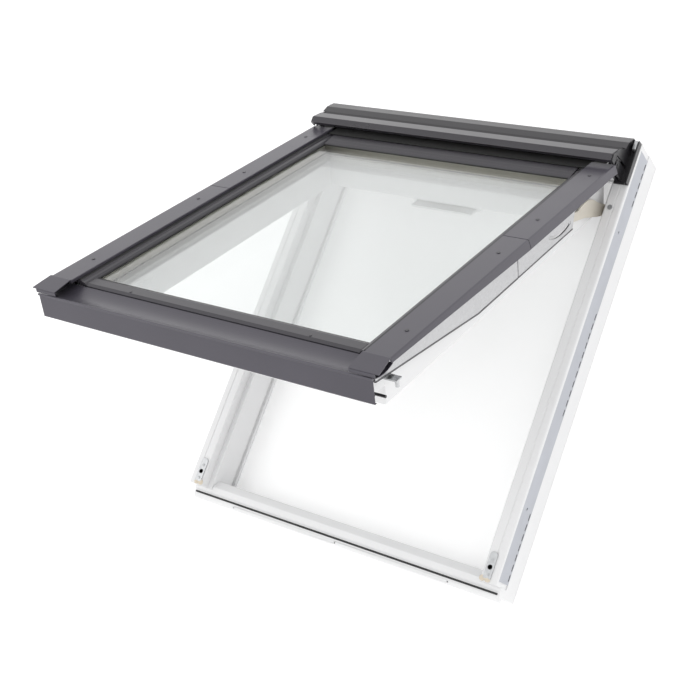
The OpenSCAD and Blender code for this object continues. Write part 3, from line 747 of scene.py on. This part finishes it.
@dataclass
class OuterFrame:
    """The frame that is fixed in the roof, with its rails, gasket and plates.

    Attributes:
        dresser: what dresses the pieces.
        slot_length: whole length of a slot in the fixing rails; all sizes are in millimetres.
        slot_width: its width.
        slot_pitch: distance between two slots of a group.
        slot_rise: the slots' height over the rail's lower edge.
        low_slots: how many slots the lowest group has.
        middle_slots: how many the middle group has.
        top_slots: how many the top group has.
        first_slot: the lowest slot's distance from the rail's lower end.
        last_slot: the highest slot's distance from the rail's top end.
        middle_group: the middle group's centre along the frame.
        lining_play: how much smaller a painted shade lining is than its slot.
        lining_depth: how far the painted shade linings' back and front lie under the rail's face.
        pad_radius: radius of the corner pads.
        pad_offset: the pads' zero across, from the strike plates' outer side.
        pad_places: the pads' places across from there, and along the frame.
        pad_height: where a pad's foot, shoulder and crown lie over the frame.
        crown_share: the crown's radius as a share of the pad's.
        hole_across: the pin hole's distance from the strike plate's outer side.
        hole_along: its distance from the plate's lower end.
        hole_depth: how far a painted shade liner reaches down from the plate's underside.
        hole_floor: radius and thickness of a shade liner's floor.
        hole_wall: inner and outer radius of a shade liner's wall.
        hole_rise: how far its wall reaches up from the plate's underside.
    """

    dresser: Dresser
    slot_length: float = 15.0
    slot_width: float = 4.5
    slot_pitch: float = 21.0
    low_slots: int = 7
    middle_slots: int = 11
    top_slots: int = 5
    slot_rise: float = 5.0
    first_slot: float = 14.0
    last_slot: float = 16.0
    middle_group: float = 15.0
    lining_play: float = 0.3
    lining_depth: Span = (1.6, 0.5)
    pad_radius: float = 6.0
    pad_offset: float = 4.0
    pad_places: tuple[Spot, ...] = ((-13.5, -463.0), (-2.0, -463.5))
    pad_height: tuple[float, float, float] = (0.05, 2.2, 3.0)
    crown_share: float = 0.45
    hole_across: float = 8.5
    hole_along: float = 23.0
    hole_depth: float = 13.8
    hole_floor: Span = (4.2, 1.5)
    hole_wall: Span = (4.25, 4.9)
    hole_rise: float = 1.2

    def slot_middles(self) -> list[float]:
        """Gives the places of the rails' slots along the frame, in millimetres."""
        low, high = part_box("fixing_rail_right")
        first, last = low.y / MM + self.first_slot, high.y / MM - self.last_slot
        middle = (self.middle_slots - 1) / 2.0
        return (
            [first + step * self.slot_pitch for step in range(self.low_slots)]
            + [self.middle_group + (step - middle) * self.slot_pitch for step in range(self.middle_slots)]
            + [last - step * self.slot_pitch for step in range(self.top_slots)]
        )

    def slot_shades(self) -> None:
        """Paints shade into the slots' pockets with dark plugs just under the rails' faces."""
        low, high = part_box("fixing_rail_right")
        face = high.x / MM
        level = low.z / MM + self.slot_rise
        length, width = self.slot_length - self.lining_play, self.slot_width - self.lining_play
        back, front = (face - depth for depth in self.lining_depth)
        for name, side in (("slot_linings_left", -1.0), ("slot_linings_right", 1.0)):
            layers = [(stadium((run, level), length, width), back, front) for run in self.slot_middles()]
            piece = plates(name, layers, lambda u, v, w, side=side: (side * w * MM, u * MM, v * MM))
            # The dark plugs are painted shade in the slots' pockets.
            self.dresser.fit(piece, HOLE_SHADE_BLACK, "frame", "black_seal")

    def corner_pads(self) -> None:
        """Sets two round cream pads, each with a small crown, in each lower corner."""
        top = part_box("frame_right")[1].z / MM
        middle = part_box("strike_plates")[1].x / MM - self.pad_offset
        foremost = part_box("frame_right")[0].y / MM + self.pad_radius
        foot, shoulder, crown = (top + height for height in self.pad_height)
        for name, side in (("corner_pads_left", -1.0), ("corner_pads_right", 1.0)):
            layers = []
            for across, run in self.pad_places:
                spot = (side * (middle + across), max(run, foremost))
                layers.append((disc(spot, self.pad_radius), foot, shoulder))
                layers.append((disc(spot, self.pad_radius * self.crown_share), shoulder, crown))
            piece = plates(name, layers, on_frame)
            self.dresser.fit(piece, PAD_CREAM, "frame", "spacer_beige", edge=0.4)

    def plate_holes(self) -> None:
        """Paints shade into the pin holes of the strike plates with dark liners."""
        low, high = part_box("strike_plates")
        across = high.x / MM - self.hole_across
        run = low.y / MM + self.hole_along
        bottom, rim = low.z / MM - self.hole_depth, low.z / MM + self.hole_rise
        radius, thickness = self.hole_floor
        layers = []
        for side in (-1.0, 1.0):
            spot = (side * across, run)
            layers.append((disc(spot, radius), bottom, bottom + thickness))
            layers += [(wedge, bottom, rim) for wedge in wedges(spot, *self.hole_wall)]
        piece = plates("plate_holes", layers, on_frame)
        # The dark liners are painted shade in the pin holes.
        self.dresser.fit(piece, HOLE_SHADE_BLACK, "frame", "black_seal")

    def build(self) -> None:
        """Dresses the frame's pieces."""
        self.slot_shades()
        self.corner_pads()
        self.plate_holes()
        dress = self.dresser.dress
        dress(SIDE_WHITE, "frame_left", "frame_right", edge=0.8)
        dress(BOTTOM_WHITE, "frame_bottom", "frame_top", edge=0.8)
        dress(RAIL_BLUE, "fixing_rail_left", "fixing_rail_right", edge=0.3)
        dress(SEAL_AND_SHADE_BLACK, "bottom_gasket", edge=0.0)
        dress(ZINC, "strike_plates", "frame_screws", edge=0.3)
        dress(PIN_DARK, "hinge_pins", edge=0.3)
        dress(STEEL, "stay_pins", edge=0.3)


@dataclass
class Hood:
    """The two ridges of folded sheet above the hinges, and what closes their ends.

    Attributes:
        dresser: what dresses the pieces.
        clip_across: an end clip's inner and outer face across the frame, in millimetres.
        clip_along: its ends along the frame.
        clip_height: its foot and top over the floor.
    """

    dresser: Dresser
    clip_across: Span = (378.6, 386.0)
    clip_along: Span = (466.0, 486.0)
    clip_height: Span = (118.3, 133.0)

    def end_clips(self) -> None:
        """Sets a plated clip between each end of the hood and its bracket's outer wall."""
        layers = mirrored(self.clip_across, self.clip_along, self.clip_height)
        piece = plates("hood_end_clips", layers, on_frame)
        self.dresser.fit(piece, ZINC, "frame", "zinc", edge=0.8)

    def build(self) -> None:
        """Dresses the hood's pieces."""
        self.end_clips()
        dress = self.dresser.dress
        dress(HOOD_GREY, "hood_back", edge=0.3)
        dress(HOOD_FRONT_GREY, "hood_front", edge=0.6)
        dress(END_DARK, "hood_ends", edge=0.3)
        dress(BRACKET_AND_SHADE_BLACK, "hood_bracket_left", "hood_bracket_right", edge=0.4)
        dress(FILTER_BLACK, "vent_filter", edge=0.0)


@dataclass
class Arms:
    """The hinged arms with the upper side covers, and the stays that follow them.

    Attributes:
        dresser: what dresses the pieces.
        place: turns the sash's own millimetres into places.
        flap_across: an end flap's inner and outer edge.
        flap_run: its ends along the sash.
        flap_height: its underside and top.
    """

    dresser: Dresser
    place: SashPlace
    flap_across: Span = (323.9, 350.0)
    flap_run: Span = (884.0, 913.0)
    flap_height: Span = (57.2, 59.6)

    def cover_flaps(self) -> None:
        """Runs a black flap on from the top end of each upper side cover."""
        layers = mirrored(self.flap_across, self.flap_run, self.flap_height)
        piece = plates("cover_end_flaps", layers, self.place.at)
        self.dresser.fit(piece, SEAL_AND_SHADE_BLACK, "arms", "black_seal")

    def build(self) -> None:
        """Dresses the arms' and stays' pieces."""
        self.cover_flaps()
        dress = self.dresser.dress
        dress(ARM_SILVER, "arm_left", "arm_right", edge=0.3)
        dress(HEM_GREY, "arm_gaskets", edge=0.0)
        dress(ZINC, "pivot_tracks", edge=0.3)
        dress(COVER_GREY, "upper_cover_left", "upper_cover_right", edge=0.3)
        dress(BEAD_GREY, "upper_cover_screws", edge=0.2)
        dress(STAY_CREAM, "stay_left", "stay_right", edge=0.4)
        dress(STEEL, "slide_pins", edge=0.3)


@dataclass
class Sash:
    """The glazed sash with its beads, covers, seals and handles.

    Attributes:
        dresser: what dresses the pieces.
        place: turns the sash's own millimetres into places.
        strip_run: the ends along the sash of the brush strip, whose upper end under the hood's lip is painted
            shade.
        strip_height: its underside and top.
        strip_half: half its width across.
        edge_shade_run: the ends along the sash of the painted shade lines by the side covers' inner edges.
        edge_shade_across: their inner and outer edge.
        edge_shade_height: their underside and top.
        split_run: the ends along the sash of the painted shade strips under the covers' split.
        split_across: their inner and outer edge.
        split_height: their underside and top.
        buffer_across: an end buffer's inner and outer face.
        buffer_spot: its middle along the sash and in height.
        buffer_radius: its radius.
        gasket_half: half the glazing gasket's width across.
        gasket_run: its lower and upper end.
        gasket_height: its underside and top.
        gasket_width: width of its strips.
        nose_shade_across: the inner and outer face of a black plate of painted shade below a side cover's
            nose.
        nose_shade_outline: its outline along the sash and in height.
    """

    dresser: Dresser
    place: SashPlace
    strip_run: Span = (869.0, 924.5)
    strip_height: Span = (55.1, 57.0)
    strip_half: float = 320.0
    edge_shade_run: Span = (62.0, 868.0)
    edge_shade_across: Span = (315.5, 321.5)
    edge_shade_height: Span = (54.6, 55.8)
    split_run: Span = (505.0, 510.5)
    split_across: Span = (323.0, 373.0)
    split_height: Span = (59.0, 60.2)
    buffer_across: Span = (335.2, 368.0)
    buffer_spot: Spot = (28.0, 0.0)
    buffer_radius: float = 2.6
    gasket_half: float = 302.7
    gasket_run: Span = (91.3, 829.7)
    gasket_height: Span = (45.1, 47.4)
    gasket_width: float = 2.2
    nose_shade_across: Span = (345.0, 349.0)
    nose_shade_outline: Outline = (
        (4.0, 46.2), (12.0, 43.3), (22.0, 41.2), (31.5, 40.6), (42.0, 41.4), (52.0, 43.6), (58.5, 46.2),
        (61.0, 49.0), (61.0, 59.8), (42.0, 59.8), (4.0, 54.4),
    )

    def top_strip(self) -> None:
        """Lays the black brush strip on the top bead and runs it on under the hood's lip, where it is painted
        shade for the gap there.
        """
        low, high = self.strip_height
        half = self.strip_half
        layers = [(oblong((-half, self.strip_run[0]), (half, self.strip_run[1])), low, high)]
        piece = plates("top_brush_strip", layers, self.place.at)
        # The black brush strip is partly real and partly painted shade under the hood's lip.
        self.dresser.fit(piece, BRUSH_AND_SHADE_BLACK, "sash", "black_seal")

    def edge_shade_lines(self) -> None:
        """Lays a black line of painted shade along each side bead, where the side covers' inner edges come
        down.
        """
        layers = mirrored(self.edge_shade_across, self.edge_shade_run, self.edge_shade_height)
        piece = plates("cover_edge_seals", layers, self.place.at)
        # These black lines are painted shade along the side covers' inner edges.
        self.dresser.fit(piece, SEAL_AND_SHADE_BLACK, "sash", "black_seal")

    def split_shade_lines(self) -> None:
        """Lays a black strip of painted shade under the gap between the lower and the upper side covers."""
        layers = mirrored(self.split_across, self.split_run, self.split_height)
        piece = plates("split_shade_lines", layers, self.place.at)
        # This black strip is painted shade in the gap between the covers.
        self.dresser.fit(piece, SEAL_AND_SHADE_BLACK, "sash", "black_seal")

    def glazing_gasket(self) -> None:
        """Lays a thin black gasket on the outer pane, close along the beads."""
        half, width = self.gasket_half, self.gasket_width
        front, back = self.gasket_run
        low, high = self.gasket_height
        layers = [
            (oblong((-half, front), (half, front + width)), low, high),
            (oblong((-half, back - width), (half, back)), low, high),
            (oblong((-half, front + width), (width - half, back - width)), low, high),
            (oblong((half - width, front + width), (half, back - width)), low, high),
        ]
        piece = plates("glazing_gasket", layers, self.place.at)
        self.dresser.fit(piece, SEAL_AND_SHADE_BLACK, "sash", "black_seal")

    def nose_shades(self) -> None:
        """Fills the dip of the bottom cover below each side cover's nose with a black plate of painted shade.
        """
        near, far = self.nose_shade_across
        for name, side in (("nose_shade_left", -1.0), ("nose_shade_right", 1.0)):
            layers = [(self.nose_shade_outline, side * near, side * far)]
            piece = plates(name, layers, lambda u, v, w: self.place.at(w, u, v))
            # The black plate is painted shade in the gap under the cover's nose.
            self.dresser.fit(piece, BRACKET_AND_SHADE_BLACK, "sash", "bracket_black", edge=0.4)

    def end_buffers(self) -> None:
        """Puts a short black buffer in each end of the bottom rail."""
        near, far = self.buffer_across
        layers = [
            (disc(self.buffer_spot, self.buffer_radius), *sorted((side * near, side * far)))
            for side in (-1.0, 1.0)
        ]
        piece = plates("rail_end_buffers", layers, lambda u, v, w: self.place.at(w, u, v))
        self.dresser.fit(piece, BRACKET_AND_SHADE_BLACK, "sash", "bracket_black", edge=0.3)

    def build(self) -> None:
        """Dresses the sash's pieces."""
        self.end_buffers()
        self.glazing_gasket()
        self.nose_shades()
        self.top_strip()
        self.edge_shade_lines()
        self.split_shade_lines()
        dress = self.dresser.dress
        dress(SIDE_WHITE, "stile_left", "stile_right", edge=0.8)
        dress(BOTTOM_WHITE, "sash_rail_bottom", "sash_rail_top", edge=0.8)
        dress(GLASS, "outer_pane", "inner_pane", edge=0.0)
        dress(SPACER, "spacer_bar", edge=0.3)
        dress(SEAL_AND_SHADE_BLACK, "pane_seal", "sash_seal", edge=0.0)
        dress(BEAD_GREY, "bead_left", "bead_right", "bead_top", "bead_bottom", edge=0.4)
        dress(COVER_GREY, "lower_cover_left", "lower_cover_right", "bottom_cover", edge=0.3)
        dress(BEAD_GREY, "lower_cover_screws", edge=0.2)
        dress(ARM_SILVER, "side_rail_left", "side_rail_right", edge=0.3)
        dress(HEM_GREY, "rail_gaskets", edge=0.0)
        dress(ZINC, "pivot_shoes", edge=0.3)
        dress(STEEL, "lock_pins", edge=0.3)
        dress(HANDLE_GREY, "handle_base", "handle_lever", edge=0.8)
        dress(LATCH_WHITE, "vent_latch_base", "vent_latch", edge=0.8)


@dataclass
class Studio:
    """The pale floor, the soft lights and the camera.

    Attributes:
        camera_place: where the camera stands, in metres.
        camera_right: the camera's right-hand direction.
        camera_up: the camera's upward direction.
        camera_back: the direction from the subject to the camera.
        lens: focal length in millimetres.
        sensor: width of the camera's sensor.
        floor_half: half the floor's side, in metres.
        floor_drop: how far the floor lies under the frame.
        floor_glow: strength of the light that the floor gives off.
        key_place: where the key light hangs.
        key_aim: the point that it faces.
        key_size: its side.
        key_power: its power in watts.
    """

    camera_place: Point = (1.3158, -0.5577, 2.3637)
    camera_right: Point = (0.82595, 0.33876, -0.45060)
    camera_up: Point = (-0.20210, 0.92412, 0.32429)
    camera_back: Point = (0.52627, -0.17678, 0.83174)
    lens: float = 63.43
    sensor: float = 36.0
    floor_half: float = 12.0
    floor_drop: float = 0.0005
    floor_glow: float = 0.22
    key_place: Point = (-1.8, -1.0, 3.0)
    key_aim: Point = (0.0, 0.0, 0.3)
    key_size: float = 1.6
    key_power: float = 14.0

    def build(self) -> None:
        """Builds the floor, the lights and the camera."""
        bpy.context.scene.view_settings.view_transform = "Standard"
        self.floor()
        self.surround()
        self.area_light("key", self.key_place, self.key_aim, self.key_size, self.key_power)
        self.camera()

    def floor(self) -> None:
        """Lays a wide pale floor under the frame."""
        mesh = bpy.data.meshes.new("floor")
        half = self.floor_half
        edges = [(-half, -half, 0.0), (half, -half, 0.0), (half, half, 0.0), (-half, half, 0.0)]
        mesh.from_pydata(edges, [], [(0, 1, 2, 3)])
        floor = bpy.data.objects.new("floor", mesh)
        floor.location.z = -self.floor_drop
        bpy.context.scene.collection.objects.link(floor)
        bench = NodeBench("floor_paper")
        white = (1.0, 1.0, 1.0, 1.0)
        shader = bench.principled(Roughness=0.9, Emission_Color=white, Emission_Strength=self.floor_glow)
        fibres = bench.noise(bench.place(), 40.0, 3.0)
        bench.link(bench.tint(fibres, (0.93, 0.93, 0.93), (0.94, 0.94, 0.94)), shader.inputs["Base Color"])
        mesh.materials.append(bench.material)

    def surround(self) -> None:
        """Fills the room with even white light."""
        world = bpy.data.worlds.new("studio")
        world.use_nodes = True
        background = world.node_tree.nodes["Background"]
        background.inputs["Color"].default_value = (1.0, 1.0, 1.0, 1.0)
        background.inputs["Strength"].default_value = 1.0
        bpy.context.scene.world = world

    def area_light(self, name: str, place: Point, aim: Point, size: float, power: float) -> None:
        """Hangs a soft square light.

        Args:
            name: the light's name.
            place: where it hangs.
            aim: the point that it faces.
            size: its side.
            power: its power in watts.
        """
        lamp = bpy.data.lights.new(name, "AREA")
        lamp.size = size
        lamp.energy = power
        hung = bpy.data.objects.new(name, lamp)
        hung.location = place
        hung.rotation_euler = (Vector(aim) - Vector(place)).to_track_quat("-Z", "Y").to_euler()
        bpy.context.scene.collection.objects.link(hung)

    def camera(self) -> None:
        """Sets up the camera."""
        lens = bpy.data.cameras.new("camera")
        lens.lens = self.lens
        lens.sensor_width = self.sensor
        lens.clip_start = 0.05
        lens.clip_end = 60.0
        camera = bpy.data.objects.new("camera", lens)
        axes = Matrix((self.camera_right, self.camera_up, self.camera_back)).transposed().to_4x4()
        camera.matrix_world = Matrix.Translation(self.camera_place) @ axes
        bpy.context.scene.collection.objects.link(camera)
        bpy.context.scene.camera = camera


def main() -> None:
    """Builds the window and the studio in order."""
    logging.basicConfig(level=logging.INFO, format="%(message)s")
    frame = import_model()
    dresser = Dresser(frame["nodes"])
    Studio().build()
    tilt = next(joint for joint in frame["joints"] if joint["name"] == "sash_tilt")
    place = SashPlace(tuple(tilt["pos_m"]), float(max(tilt["range_deg"])))
    for part in (OuterFrame(dresser), Hood(dresser), Arms(dresser, place), Sash(dresser, place)):
        part.build()
        LOG.info("built %s", type(part).__name__)


if __name__ == "__main__":
    main()
